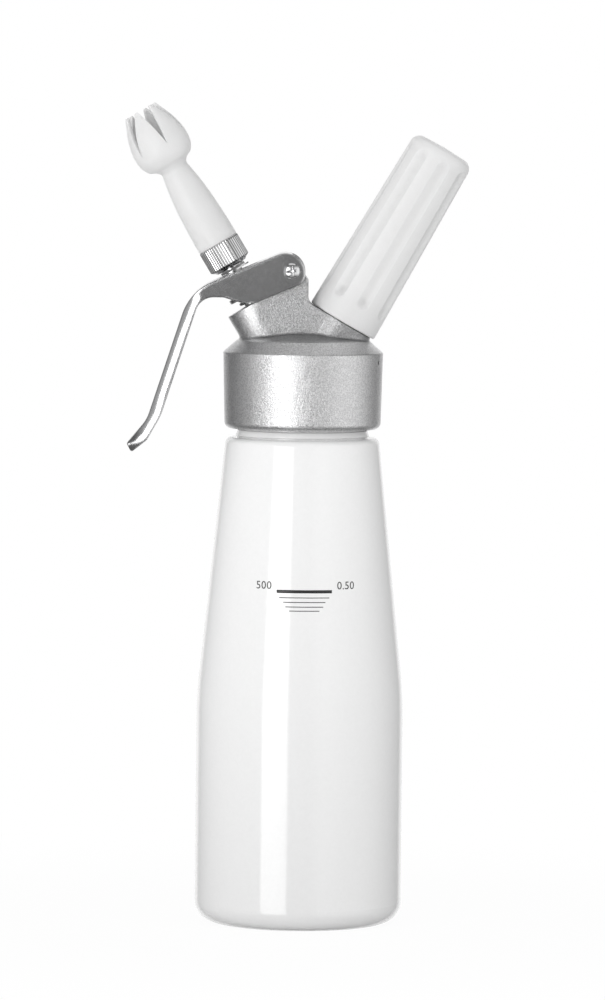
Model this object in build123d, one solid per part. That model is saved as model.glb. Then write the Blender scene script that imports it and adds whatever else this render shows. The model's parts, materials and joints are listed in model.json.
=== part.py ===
from build123d import *
import math
import os

os.makedirs("parts", exist_ok=True)

# Whipped cream dispenser, millimetres. Z is up, the bottle axis is X = Y = 0, the base stands on Z = 0.
# The nozzle and its lever lean to -X, the charger holder leans to +X.

# ---------------------------------------------------------------- driving dimensions
# bottle
body_diameter = 78.0            # widest, cylindrical part of the bottle
base_corner_radius = 8.0
taper_height = 85.8             # where the cylinder would meet the cone
taper_blend_radius = 175.0
shoulder_height = 183.3
shoulder_corner_diameter = 57.8
shoulder_thickness = 1.7
bottle_wall = 1.25
bottle_floor = 1.6
fill_height = 126.8             # level of the fill mark
neck_height = 23.7              # from the shoulder to the rim
neck_wall = 1.9
neck_thread_diameter = 50.0
neck_thread_pitch = 4.0
neck_thread_turns = 3.0
neck_thread_depth = 1.1
neck_thread_lead_in = 3.4       # from the last turn to the rim
neck_ridge_root_width = 1.9
neck_ridge_crest_width = 1.1
bead_overhang = 0.35            # of the bead past the thread
bead_height = 2.4

# collar, dome and gasket
collar_gap = 3.4                # between the bottle's shoulder and the collar
collar_height = 28.7
collar_wall = 4.0               # at the collar's lower edge
collar_flare = 1.4              # how much wider the collar is at its top edge
step_width = 5.1                # conical step from the collar's top edge to the dome
step_height = 4.5
dome_rise = 5.0                 # from the dome's edge to its apex, which the bosses cover
gasket_thickness = 2.5
gasket_lip = 1.0                # how far the gasket reaches into the neck

# valve side
axes_drop = 13.4                # both tilted axes leave the bottle axis this far below the collar's top edge
valve_tilt = 31.0
valve_face_distance = 37.2      # along the valve axis to the face of its boss
valve_boss_diameter = 21.6
valve_boss_length = 25.0
stem_diameter = 6.4
stem_bore_diameter = 3.4
spring_mean_diameter = 8.7
spring_wire_diameter = 1.0
spring_turns = 5.0
spring_cap_diameter = 15.0
spring_cap_thickness = 1.5
spring_cap_height = 3.4         # above the boss face
pivot_level = 3.1               # above the boss face
pivot_reach = 18.8              # from the valve axis
pivot_pin_diameter = 5.0
screw_head_diameter = 6.0
screw_shank_diameter = 2.5
tower_half_width = 4.7          # of the tower around the pivot
tower_shoulder = 1.25           # of the casting past the lever's end

# lever
lever_top_level = 13.5          # above the boss face, on the valve axis
lever_slope = 22.9
lever_depth = 13.55
lever_wall = 1.6
lever_web = 2.0
lever_recess_depth = 0.9        # round recess in the lever's top, under the washer
lever_recess_room = 1.9         # around the washer
lever_end_reach = 5.15
lever_end_radius = 7.5
lever_edge_radius = 0.5
knuckle_offset = 38.3           # from the pivot, to the outside corner of the handle
knuckle_drop = 8.5              # where the handle's outside line passes that corner, below the pivot
knuckle_radius = 20.5
handle_slope = 71.9
handle_thickness = 4.6
handle_flare_slope = 50.2
handle_flare_height = 12.4      # above the tip
handle_flare_radius = 14.0
handle_tip_drop = 68.9          # from the pivot down to the tip
handle_tip_width = 18.0
handle_tip_radius = 5.0
handle_waist_drop = 33.0        # where the handle has narrowed to the tip's width
handle_waist_radius = 60.0

# nozzle
adapter_room = 0.95             # from the lever's top line up to the adapter
adapter_hex_width = 8.6
adapter_hex_thickness = 0.95
washer_diameter = 13.0
adapter_thread_diameter = 10.4
adapter_thread_depth = 0.7
ring_diameter = 16.3
ring_length = 10.3
ring_ribs = 48
ring_rib_depth = 0.3
nozzle_pitch = 1.5
nozzle_seal_thickness = 1.2
nozzle_plug_length = 1.5        # of the nozzle's foot inside the ring
nozzle_base_diameter = 16.0
nozzle_neck_diameter = 10.8
nozzle_tube_length = 33.0
nozzle_wall = 1.3
bulb_diameter = 22.3
bulb_length = 24.7
nozzle_tip_diameter = 13.0
petal_count = 6
petal_notch_length = 15.0
petal_notch_width = 4.4
petal_first_angle = 14.5

# charger side
charger_tilt = 30.0
holder_distance = 29.3          # along the charger axis to the holder's lower edge
holder_wall = 1.55               # around the thread insert
holder_top_wall = 2.8          # around the charger
holder_top_thickness = 3.6
holder_corner_radius = 3.6
flute_count = 8
flute_width = 4.6
flute_depth = 1.0
flute_start = 7.0
flute_end = 4.2
flute_first_angle = 14.0
vent_height = 7.7               # small pressure relief hole, above the holder's lower edge
charger_diameter = 18.0
charger_length = 65.5
charger_neck_diameter = 8.9
charger_neck_length = 9.0
charger_wall = 1.0
spigot_length = 11.0
spigot_thread_diameter = 21.5
spigot_thread_depth = 0.8
spigot_pitch = 2.0
insert_wall = 1.15
boss_inset = 1.45                # of the charger boss from the holder's edge
crease_radius = 3.0             # between the flat fronts and the round charger boss
foot_radius = 1.0               # where the bosses stand on the dome
gas_valve_offset = 11.7         # from the bottle axis
gas_drilling_diameter = 3.0

# ---------------------------------------------------------------- named clearances
running_clearance = 0.05
side_clearance = 0.3
thread_clearance = 0.4
fine_thread_clearance = 0.3
charger_clearance = 0.6
guide_clearance = 0.1
cam_clearance = 0.02
face_gap = 0.3
ring_gap = 0.2

# ---------------------------------------------------------------- sizes that follow
neck_rim_height = shoulder_height + neck_height
neck_root_diameter = neck_thread_diameter - 2 * neck_thread_depth
neck_bore_diameter = neck_root_diameter - 2 * neck_wall
neck_thread_low = neck_rim_height - neck_thread_lead_in - neck_thread_pitch * neck_thread_turns
ceiling_height = neck_rim_height + gasket_thickness     # the head's flat underside above the gasket
collar_bottom_height = shoulder_height + collar_gap
collar_top_height = collar_bottom_height + collar_height
collar_bore_diameter = neck_thread_diameter + 2 * thread_clearance
collar_bottom_diameter = collar_bore_diameter + 2 * collar_wall
collar_top_diameter = collar_bottom_diameter + collar_flare
dome_edge_diameter = collar_top_diameter - 2 * step_width
dome_edge_height = collar_top_height + step_height
axes_height = collar_top_height - axes_drop
adapter_low_level = lever_top_level + adapter_room
lever_recess_radius = washer_diameter / 2 + lever_recess_room
ring_level = adapter_low_level + adapter_hex_thickness + ring_gap
ring_top_level = ring_level + ring_length
ring_bore_diameter = adapter_thread_diameter + 2 * thread_clearance
stem_top_level = ring_top_level - nozzle_plug_length - nozzle_seal_thickness
insert_bore_diameter = spigot_thread_diameter + 2 * fine_thread_clearance
insert_diameter = insert_bore_diameter + 2 * insert_wall
holder_base_diameter = insert_diameter + 2 * holder_wall
holder_bore_diameter = charger_diameter + 2 * charger_clearance
holder_top_diameter = holder_bore_diameter + 2 * holder_top_wall
charger_boss_diameter = holder_base_diameter - 2 * boss_inset

# ---------------------------------------------------------------- frames
bottle_axis_point = Vector(0, 0, axes_height)
valve_sine = math.sin(math.radians(valve_tilt))
valve_cosine = math.cos(math.radians(valve_tilt))
valve_direction = Vector(-valve_sine, 0, valve_cosine)
valve_across = Vector(valve_cosine, 0, valve_sine)
valve_origin = bottle_axis_point + valve_direction * valve_face_distance
valve_frame = Plane(origin=valve_origin, x_dir=valve_across, z_dir=valve_direction).location

charger_sine = math.sin(math.radians(charger_tilt))
charger_cosine = math.cos(math.radians(charger_tilt))
charger_direction = Vector(charger_sine, 0, charger_cosine)
charger_across = Vector(charger_cosine, 0, -charger_sine)
charger_origin = bottle_axis_point + charger_direction * holder_distance
charger_frame = Plane(origin=charger_origin, x_dir=charger_across, z_dir=charger_direction).location

pivot_point = valve_origin + valve_direction * pivot_level + valve_across * pivot_reach


# ---------------------------------------------------------------- helpers
def rounded_face(corners):
    """Face on the XZ plane inside a closed run of (x, z, corner radius) points."""
    count = len(corners)
    tips = [Vector(x, 0, z) for x, z, radius in corners]
    starts = []
    middles = []
    ends = []
    for index in range(count):
        before = (tips[index - 1] - tips[index]).normalized()
        after = (tips[(index + 1) % count] - tips[index]).normalized()
        radius = corners[index][2]
        half = math.acos(max(-1.0, min(1.0, before.dot(after)))) / 2
        reach = radius / math.tan(half)
        inward = before + after
        starts.append(tips[index] + before * reach)
        ends.append(tips[index] + after * reach)
        if radius > 0:
            centre = tips[index] + inward.normalized() * (radius / math.sin(half))
            middles.append(centre - inward.normalized() * radius)
        else:
            middles.append(tips[index])
    edges = []
    for index in range(count):
        if corners[index][2] > 0:
            edges.append(ThreePointArc(starts[index], middles[index], ends[index]))
        edges.append(Line(ends[index], starts[(index + 1) % count]))
    return make_face(edges)


def turned(corners):
    """Solid of revolution about Z from (radius, height, corner radius) points."""
    return revolve(rounded_face(corners), axis=Axis.Z)


def rod(radius, low, high):
    """Round bar on the Z axis between two heights."""
    return Pos(0, 0, low) * Cylinder(radius, high - low, align=(Align.CENTER, Align.CENTER, Align.MIN))


def tube(outer, inner, low, high):
    """Plain sleeve on the Z axis between two heights."""
    return rod(outer, low, high) - rod(inner, low - 1, high + 1)


def cross_rod(radius, x, z, half_length):
    """Round bar along Y through the point (x, z)."""
    return Pos(x, 0, z) * Rot(90, 0, 0) * Cylinder(radius, 2 * half_length)


def plate(corners, half_width):
    """Plate between Y = -half_width and +half_width from (x, z, corner radius) points."""
    return extrude(rounded_face(corners), amount=half_width, dir=(0, 1, 0), both=True)


def thread(root, crest, pitch, turns, root_width, crest_width, low):
    """One helical ridge standing on the radius root and reaching the radius crest."""
    flank = (root_width - crest_width) / 2
    sink = 0.2 * (crest - root)
    path = Helix(pitch=pitch, height=pitch * turns, radius=root)
    outline = Polyline(
        (root - sink, -root_width / 2 - 0.2 * flank),
        (crest, -crest_width / 2),
        (crest, crest_width / 2),
        (root - sink, root_width / 2 + 0.2 * flank),
        close=True,
    )
    return Pos(0, 0, low) * sweep(Plane.XZ * make_face(outline), path=path, is_frenet=True)


def meet(first, first_angle, second, second_angle):
    """Point where two lines of the XZ plane cross, each given by a point and a slope in degrees."""
    ax, az = math.cos(math.radians(first_angle)), math.sin(math.radians(first_angle))
    bx, bz = math.cos(math.radians(second_angle)), math.sin(math.radians(second_angle))
    dx, dz = second[0] - first[0], second[1] - first[1]
    along = (dx * bz - dz * bx) / (ax * bz - az * bx)
    return first[0] + along * ax, first[1] + along * az


def flat(vector):
    """The (x, z) pair of a vector."""
    return vector.X, vector.Z


# ---------------------------------------------------------------- bottle
def make_bottle():
    body = body_diameter / 2
    shoulder = shoulder_corner_diameter / 2
    root = neck_root_diameter / 2
    bead = neck_thread_diameter / 2 + bead_overhang
    bead_low = shoulder_height + 0.5
    bead_high = bead_low + bead_height
    outer = [
        (0, 0, 0),
        (body, 0, base_corner_radius),
        (body, taper_height, taper_blend_radius),
        (shoulder, shoulder_height, 2.4),
        (bead - 0.8, shoulder_height, 0),
        (bead - 0.8, bead_low, 0),
        (bead, bead_low, 0.4),
        (bead - 1.0, bead_high, 0.4),
        (root, bead_high, 0),
        (root, neck_rim_height - 0.8, 0),
        (root - 0.8, neck_rim_height, 0),
    ]
    shell = turned(outer + hollow_corners())
    ridge = thread(
        root,
        neck_thread_diameter / 2,
        neck_thread_pitch,
        neck_thread_turns,
        neck_ridge_root_width,
        neck_ridge_crest_width,
        neck_thread_low,
    )
    return shell + ridge


def hollow_corners():
    """Corners of the bottle's hollow, from the rim down to the floor."""
    bore = neck_bore_diameter / 2
    inside = body_diameter / 2 - bottle_wall
    ceiling = shoulder_height - shoulder_thickness
    slope = (body_diameter - shoulder_corner_diameter) / 2 / (shoulder_height - taper_height)
    inner_shoulder = inside - slope * (ceiling - taper_height)
    return [
        (bore, neck_rim_height, 0),
        (bore, ceiling, 1.2),
        (inner_shoulder, ceiling, 1.6),
        (inside, taper_height, taper_blend_radius - bottle_wall),
        (inside, bottle_floor, base_corner_radius - bottle_wall),
        (0, bottle_floor, 0),
    ]


def make_gasket():
    outer = neck_thread_diameter / 2 - 0.1
    inner = neck_bore_diameter / 2 - gasket_lip
    return tube(outer, inner, neck_rim_height, ceiling_height)


# ---------------------------------------------------------------- inside the head
# heights on the valve axis are above the boss face, heights on the charger axis above the holder's lower edge
spring_pocket_depth = 10.0
bush_length = 4.0
bush_wall = 1.5
guide_length = 10.0
chamber_length = 8.0
chamber_clearance = 1.3         # around the stem
seat_boss_wall = 2.5            # around the chamber
seal_thickness = 2.0
seal_diameter = 12.0
flange_thickness = 2.0
flange_diameter = 13.2
cross_hole_diameter = 2.6
cross_hole_drop = 2.5           # below the guide
spring_seat_level = -spring_pocket_depth
bush_low_level = spring_seat_level - bush_length
guide_low_level = bush_low_level - guide_length
seat_level = guide_low_level - chamber_length
cross_hole_level = guide_low_level - cross_hole_drop
guide_radius = stem_diameter / 2 + guide_clearance
spring_pocket_radius = (spring_mean_diameter + spring_wire_diameter) / 2 + 0.45
bush_radius = guide_radius + bush_wall
chamber_radius = stem_diameter / 2 + chamber_clearance
seat_boss_radius = chamber_radius + seat_boss_wall
pin_seat_level = 3.5
pin_disc_thickness = 1.5
charger_seal_thickness = 1.5
charger_level = pin_seat_level + pin_disc_thickness + charger_seal_thickness
spigot_bore_radius = charger_neck_diameter / 2 + 0.35
spigot_thread_low = 1.6         # middle of the first turn
spigot_ridge_root_width = 0.95
spigot_ridge_crest_width = 0.5
spigot_thread_turns = (spigot_length - spigot_thread_low - 1.4) / spigot_pitch
gas_seat_diameter = 9.0
gas_seat_thickness = 4.0
gas_seat_recess = 1.2


# ---------------------------------------------------------------- head casting
def make_head():
    top = collar_top_diameter / 2
    low = collar_bottom_diameter / 2
    bore = collar_bore_diameter / 2
    step = dome_edge_height
    ceiling = ceiling_height
    collar = turned(
        [
            (0, ceiling, 0),
            (bore, ceiling, 0),
            (bore, collar_bottom_height, 0),
            (low, collar_bottom_height, 2.5),
            (top, collar_top_height, 0.7),
            (dome_edge_diameter / 2, step, 0.8),
            (0, step + dome_rise, 0),
        ]
    )
    half = valve_boss_diameter / 2
    foot = -valve_boss_length
    left_boss = valve_frame * turned([(0, foot, 0), (half, foot, 0), (half, 0, 0.4), (0, 0, 0)])
    right_boss = charger_frame * rod(charger_boss_diameter / 2, -holder_distance / 2, -face_gap)

    # middle plate with the tower that carries the lever's pivot
    inside = step - 6.0
    low_left = bottle_axis_point + valve_direction * ((inside - axes_height) / valve_cosine)
    low_right = bottle_axis_point + charger_direction * ((inside - axes_height) / charger_cosine)
    left_face = valve_origin - valve_direction * 0.4
    right_face = charger_origin - charger_direction * face_gap
    tower_half = tower_half_width
    tower_right = pivot_point.X + lever_end_reach + tower_shoulder
    right_corner = flat(right_face - charger_across * charger_boss_diameter / 2)
    middle = plate(
        [
            (*flat(low_left), 0),
            (*flat(left_face), 0),
            (*flat(left_face + valve_across * half), 1.5),
            (pivot_point.X - tower_half, pivot_point.Z + tower_half, tower_half - 0.1),
            (pivot_point.X + tower_half, pivot_point.Z + tower_half, tower_half - 0.1),
            (pivot_point.X + tower_half, pivot_point.Z - 1.2, 1.0),
            (tower_right, pivot_point.Z - 3.6, 1.5),
            (tower_right, right_corner[1] + 1.2, 3.0),
            (*right_corner, 0),
            (*flat(right_face), 0),
            (*flat(low_right), 0),
        ],
        half,
    )
    upper = left_boss + right_boss + middle - rod(bore + 1, collar_bottom_height, ceiling + 2)
    creases = [
        edge
        for edge in upper.edges()
        if edge.geom_type == GeomType.LINE
        and edge.length > 3.0
        and abs(abs(edge.center().Y) - half) < 0.01
        and abs((edge @ 1 - edge @ 0).normalized().dot(charger_direction)) > 0.999
    ]
    upper = fillet(creases, crease_radius)
    casting = collar + upper
    feet = [
        edge
        for edge in casting.edges()
        if edge.bounding_box().min.Z > step - 0.2
        and edge.bounding_box().max.Z < step + dome_rise
        and edge.geom_type in (GeomType.BSPLINE, GeomType.HYPERBOLA)
    ]
    casting = fillet(feet, foot_radius)

    # valve boss underside and bores
    casting = casting + valve_frame * rod(seat_boss_radius, seat_level, guide_low_level)
    valve_bores = (
        rod(spring_pocket_radius, spring_seat_level, 1.0)
        + rod(bush_radius, bush_low_level, spring_seat_level + 0.5)
        + rod(guide_radius, guide_low_level - 0.5, bush_low_level + 0.5)
        + rod(chamber_radius, seat_level - 1.0, guide_low_level)
    )
    casting = casting - valve_frame * valve_bores

    # spigot for the charger holder
    crest = spigot_thread_diameter / 2
    root = crest - spigot_thread_depth
    spigot = turned(
        [
            (0, -face_gap - 1.0, 0),
            (root, -face_gap - 1.0, 0),
            (root, spigot_length - 0.6, 0),
            (root - 0.6, spigot_length, 0),
            (0, spigot_length, 0),
        ]
    )
    spigot = spigot + thread(
        root,
        crest,
        spigot_pitch,
        spigot_thread_turns,
        spigot_ridge_root_width,
        spigot_ridge_crest_width,
        spigot_thread_low,
    )
    casting = casting + charger_frame * spigot
    drilling_depth = holder_distance - gas_valve_offset / charger_sine
    gas_bores = (
        rod(spigot_bore_radius, pin_seat_level, spigot_length + 1.0)
        + rod(gas_drilling_diameter / 2, -drilling_depth, pin_seat_level + 0.5)
    )
    casting = casting - charger_frame * gas_bores
    drilling_height = axes_height + gas_valve_offset / math.tan(math.radians(charger_tilt))
    gas_chimney = rod(2.0, ceiling, drilling_height)
    gas_chimney = gas_chimney + rod(gas_seat_diameter / 2, ceiling - 1.0, ceiling + gas_seat_thickness)
    casting = casting - Pos(gas_valve_offset, 0, 0) * gas_chimney

    # pivot bore, relief hole in the collar and the collar's own thread
    casting = casting - cross_rod(pivot_pin_diameter / 2, pivot_point.X, pivot_point.Z, half + 2.0)
    relief = Rot(0, 90, 0) * rod(0.9, top - 3.0, top + 2.0)
    casting = casting - Pos(0, 0, collar_top_height - 3.3) * Rot(0, 0, -19.0) * relief
    casting = casting + thread(
        bore,
        bore - neck_thread_depth,
        neck_thread_pitch,
        neck_thread_turns + 0.5,
        neck_ridge_root_width,
        neck_ridge_crest_width,
        neck_thread_low - neck_thread_pitch / 2,
    )
    return casting


# ---------------------------------------------------------------- lever
def make_lever():
    inner_half = valve_boss_diameter / 2 + side_clearance
    outer_half = inner_half + lever_wall
    axis_top = flat(valve_origin + valve_direction * lever_top_level)
    drop = lever_depth / math.cos(math.radians(lever_slope))
    axis_low = (axis_top[0], axis_top[1] - drop)
    end_x = pivot_point.X + lever_end_reach
    knee_z = pivot_point.Z - lever_depth + 1.5
    handle_line = (pivot_point.X - knuckle_offset, pivot_point.Z - knuckle_drop)
    knuckle = meet(axis_top, lever_slope, handle_line, handle_slope)
    end_top = meet(axis_top, lever_slope, (end_x, 0), 90)
    end_low = meet(axis_low, lever_slope, (end_x, 0), 90)
    knee = meet(axis_low, lever_slope, (0, knee_z), 0)

    # handle: straight outside line, then a flare away from the bottle down to a blunt tip
    slant = math.radians(handle_slope)
    inner_start = (knuckle[0] + handle_thickness / math.sin(slant), knuckle[1])
    tip_z = pivot_point.Z - handle_tip_drop
    flare_z = tip_z + handle_flare_height
    flare_outer = meet(knuckle, handle_slope, (0, flare_z), 0)
    flare_inner = meet(inner_start, handle_slope, (0, flare_z + 1.4), 0)
    tip_outer = meet(flare_outer, handle_flare_slope, (0, tip_z + 3.5), 0)
    tip_low = (tip_outer[0] + 1.7, tip_z)
    tip_inner = (tip_low[0] + 1.29 * handle_thickness, tip_z + 1.04 * handle_thickness)
    inner_top = meet(inner_start, handle_slope - 2.0, (0, knee_z + 1.7), 0)

    outline = [
        (*knuckle, knuckle_radius),
        (*end_top, lever_end_radius),
        (*end_low, 4.4),
        (*knee, 5.0),
        (knee[0] - 5.8, knee_z, 8.0),
        (knee[0] - 12.1, knee_z + 1.9, 4.0),
        (inner_top[0], inner_top[1] + 0.2, 7.0),
        (*flare_inner, handle_flare_radius + handle_thickness),
        (*tip_inner, 2.5),
        (*tip_low, 0.8),
        (*tip_outer, 0.8),
        (*flare_outer, handle_flare_radius),
    ]
    solid = plate(outline, outer_half)

    # seen from the left the handle narrows towards its rounded tip
    tip_half = handle_tip_width / 2
    far = pivot_point.Z + lever_top_level
    shoulder_z = knee_z - 5.0
    waist_z = knee_z - handle_waist_drop
    narrowing = [
        (outer_half, far, 0),
        (outer_half, shoulder_z, 40.0),
        (tip_half, waist_z, handle_waist_radius),
        (tip_half, tip_z - 0.5, handle_tip_radius),
        (-tip_half, tip_z - 0.5, handle_tip_radius),
        (-tip_half, waist_z, handle_waist_radius),
        (-outer_half, shoulder_z, 40.0),
        (-outer_half, far, 0),
    ]
    solid = solid & Pos(handle_line[0], 0, 0) * Rot(0, 0, 90) * plate(narrowing, 2 * knuckle_offset)
    sides = [
        edge
        for edge in solid.edges()
        if edge.bounding_box().size.Y < tip_half and abs(edge.center().Y) > tip_half / 2
    ]
    solid = fillet(sides, lever_edge_radius)
    # channel between the cheeks, open below and towards the pivot end; its roof steps down under the recess
    rise = math.radians(lever_slope)

    def below(along, depth):
        across = along * math.cos(rise) + depth * math.sin(rise)
        return (axis_top[0] + across, axis_top[1] + along * math.sin(rise) - depth * math.cos(rise))

    recess_centre = 1.2
    step = lever_recess_radius + 1.6
    thick = lever_web + lever_recess_depth
    under = below(0, lever_web)
    channel_left = meet(under, lever_slope, (inner_top[0] + 1.0, 0), 90)
    channel_right = meet(under, lever_slope, (pivot_point.X + 1.0, 0), 90)
    channel = plate(
        [
            (*channel_left, 1.5),
            (*below(recess_centre - step - 1.0, lever_web), 0.8),
            (*below(recess_centre - step, thick), 0.8),
            (*below(recess_centre + step, thick), 0.8),
            (*below(recess_centre + step + 1.0, lever_web), 0.8),
            (*channel_right, 0),
            (channel_right[0], channel_right[1] + lever_depth, 0),
            (end_x + lever_depth, channel_right[1] + lever_depth, 0),
            (end_x + lever_depth, knee_z - lever_depth, 0),
            (channel_left[0], knee_z - lever_depth, 0),
        ],
        inner_half,
    )
    solid = solid - channel
    recess = Cylinder(lever_recess_radius, 2 * lever_recess_depth)
    middle = below(recess_centre, 0)
    solid = solid - Pos(middle[0], 0, middle[1]) * Rot(0, -lever_slope, 0) * recess

    # two tabs under the web press on the spring cap, either side of the stem
    pad_radius = 2.0
    pad_level = spring_cap_height + spring_cap_thickness + cam_clearance + pad_radius
    tab_height = lever_top_level - lever_recess_depth - 0.5 - pad_level
    tab = cross_rod(pad_radius, 0, 0, 1.0) + Pos(0, 0, tab_height / 2) * Box(2 * pad_radius, 2.0, tab_height)
    tab_offset = stem_diameter / 2 + 2.1
    tabs = Pos(0, tab_offset, pad_level) * tab + Pos(0, -tab_offset, pad_level) * tab
    solid = solid + valve_frame * tabs

    # slot for the stem and bores for the pivot pin
    slot = extrude(SlotOverall(stem_diameter + 4.2, stem_diameter + 1.4), amount=12.0)
    solid = solid - valve_frame * Pos(0.9, 0, lever_top_level - 6.0) * slot
    bore = pivot_pin_diameter / 2 + running_clearance
    return solid - cross_rod(bore, *flat(pivot_point), outer_half + 2.0)


# ---------------------------------------------------------------- pivot
pin_half_length = valve_boss_diameter / 2 + side_clearance + lever_wall + 0.1
screw_length = 5.0


def make_pivot_pin():
    half = pin_half_length
    pin = cross_rod(pivot_pin_diameter / 2, *flat(pivot_point), half)
    for side in (-1, 1):
        hole = Cylinder(screw_shank_diameter / 2, 2 * screw_length + 2.0)
        pin = pin - Pos(pivot_point.X, side * half, pivot_point.Z) * Rot(90, 0, 0) * hole
    return pin


def make_pivot_screws():
    half = pin_half_length
    radius = screw_head_diameter / 2
    shank = screw_shank_diameter / 2
    screw = turned(
        [
            (0, -screw_length, 0),
            (shank, -screw_length, 0),
            (shank, 0, 0),
            (radius, 0, 0),
            (radius, 1.3, 0.8),
            (0, 1.6, 0),
        ]
    )
    recess = Pos(0, 0, 1.2) * (Box(3.4, 0.8, 1.6) + Box(0.8, 3.4, 1.6))
    screw = screw - recess
    front = Pos(pivot_point.X, -half, pivot_point.Z) * Rot(90, 0, 0) * Rot(0, 0, 20) * screw
    back = Pos(pivot_point.X, half, pivot_point.Z) * Rot(-90, 0, 0) * screw
    return Compound(children=[front, back])


# ---------------------------------------------------------------- valve pieces
adapter_crest_radius = adapter_thread_diameter / 2
adapter_root_radius = adapter_crest_radius - adapter_thread_depth
nozzle_ridge_root_width = 0.7
nozzle_ridge_crest_width = 0.3
o_ring_levels = (bush_low_level - 1.5, bush_low_level - 5.0)
o_ring_groove_depth = 0.92


def make_stem_bush():
    return valve_frame * tube(bush_radius, guide_radius, bush_low_level, spring_seat_level)


def make_stem():
    radius = stem_diameter / 2
    low = seat_level - seal_thickness
    stem = rod(radius, low, stem_top_level) + rod(flange_diameter / 2, low - flange_thickness, low)
    stem = stem - rod(stem_bore_diameter / 2, cross_hole_level - 1.5, stem_top_level + 1)
    for angle in (0, 90):
        hole = Cylinder(cross_hole_diameter / 2, 3 * radius)
        stem = stem - Pos(0, 0, cross_hole_level) * Rot(0, 0, angle) * Rot(90, 0, 0) * hole
    for level in o_ring_levels:
        stem = stem - tube(radius + 1, radius - o_ring_groove_depth, level - 0.55, level + 0.55)
    return valve_frame * stem


def make_o_rings():
    centre = stem_diameter / 2 - 0.42
    rings = [valve_frame * Pos(0, 0, level) * Torus(centre, 0.48) for level in o_ring_levels]
    return Compound(children=rings)


def make_valve_seal():
    return valve_frame * tube(seal_diameter / 2, stem_diameter / 2, seat_level - seal_thickness, seat_level)


def make_spring_cap():
    radius = spring_cap_diameter / 2
    high = spring_cap_height + spring_cap_thickness
    cap = turned(
        [
            (stem_diameter / 2, spring_cap_height - 1.6, 0),
            (stem_diameter / 2 + 0.5, spring_cap_height - 1.6, 0),
            (stem_diameter / 2 + 0.5, spring_cap_height, 0),
            (radius, spring_cap_height, 0.3),
            (radius, high, 0.3),
            (stem_diameter / 2, high, 0),
        ]
    )
    return valve_frame * cap


def make_return_spring():
    wire = spring_wire_diameter / 2
    low = spring_seat_level + wire + 0.02
    high = spring_cap_height - wire - 0.02
    radius = spring_mean_diameter / 2
    path = Helix(pitch=(high - low) / spring_turns, height=high - low, radius=radius)
    start = Plane(origin=path @ 0, z_dir=path % 0)
    coil = sweep(start * Circle(wire), path=path, is_frenet=True)
    return valve_frame * Pos(0, 0, low) * coil


def make_washer():
    bore = stem_diameter / 2 + 0.05
    return valve_frame * tube(washer_diameter / 2, bore, adapter_low_level - 0.6, adapter_low_level - 0.1)


def make_adapter():
    high = adapter_low_level + adapter_hex_thickness
    hexagon = RegularPolygon(adapter_hex_width / 2, 6, major_radius=False)
    hexagon = extrude(hexagon, amount=adapter_hex_thickness)
    body = Pos(0, 0, adapter_low_level) * hexagon + rod(adapter_root_radius, high - 0.2, stem_top_level)
    low = high + 0.9
    turns = (stem_top_level - 0.6 - low) / nozzle_pitch
    body = body + thread(
        adapter_root_radius,
        adapter_crest_radius,
        nozzle_pitch,
        turns,
        nozzle_ridge_root_width,
        nozzle_ridge_crest_width,
        low,
    )
    body = body - rod(stem_diameter / 2, adapter_low_level - 1, stem_top_level + 1)
    return valve_frame * body


def make_nozzle_seal():
    outer = adapter_crest_radius - 0.1
    high = stem_top_level + nozzle_seal_thickness
    return valve_frame * tube(outer, nozzle_inlet_radius, stem_top_level, high)


# ---------------------------------------------------------------- nozzle
nozzle_inlet_radius = 2.4


def make_nozzle_ring():
    radius = ring_diameter / 2
    points = []
    for index in range(2 * ring_ribs):
        angle = math.pi * index / ring_ribs
        reach = radius - ring_rib_depth * (index % 2)
        points.append((reach * math.cos(angle), reach * math.sin(angle)))
    ribbed = Pos(0, 0, ring_level) * extrude(make_face(Polyline(*points, close=True)), amount=ring_length)
    envelope = turned(
        [
            (0, ring_level, 0),
            (radius - 2.2, ring_level, 0),
            (radius, ring_level + 1.65, 0),
            (radius, ring_top_level - 0.4, 0),
            (radius - 0.4, ring_top_level, 0),
            (0, ring_top_level, 0),
        ]
    )
    body = ribbed & envelope
    bore = ring_bore_diameter / 2
    body = body - rod(bore, ring_level - 1, ring_top_level + 1)
    low = adapter_low_level + adapter_hex_thickness + 0.9 + nozzle_pitch / 2
    turns = (stem_top_level - 1.4 - low) / nozzle_pitch
    body = body + thread(
        bore,
        bore - adapter_thread_depth,
        nozzle_pitch,
        turns,
        nozzle_ridge_root_width,
        nozzle_ridge_crest_width,
        low,
    )
    return valve_frame * body


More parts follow.
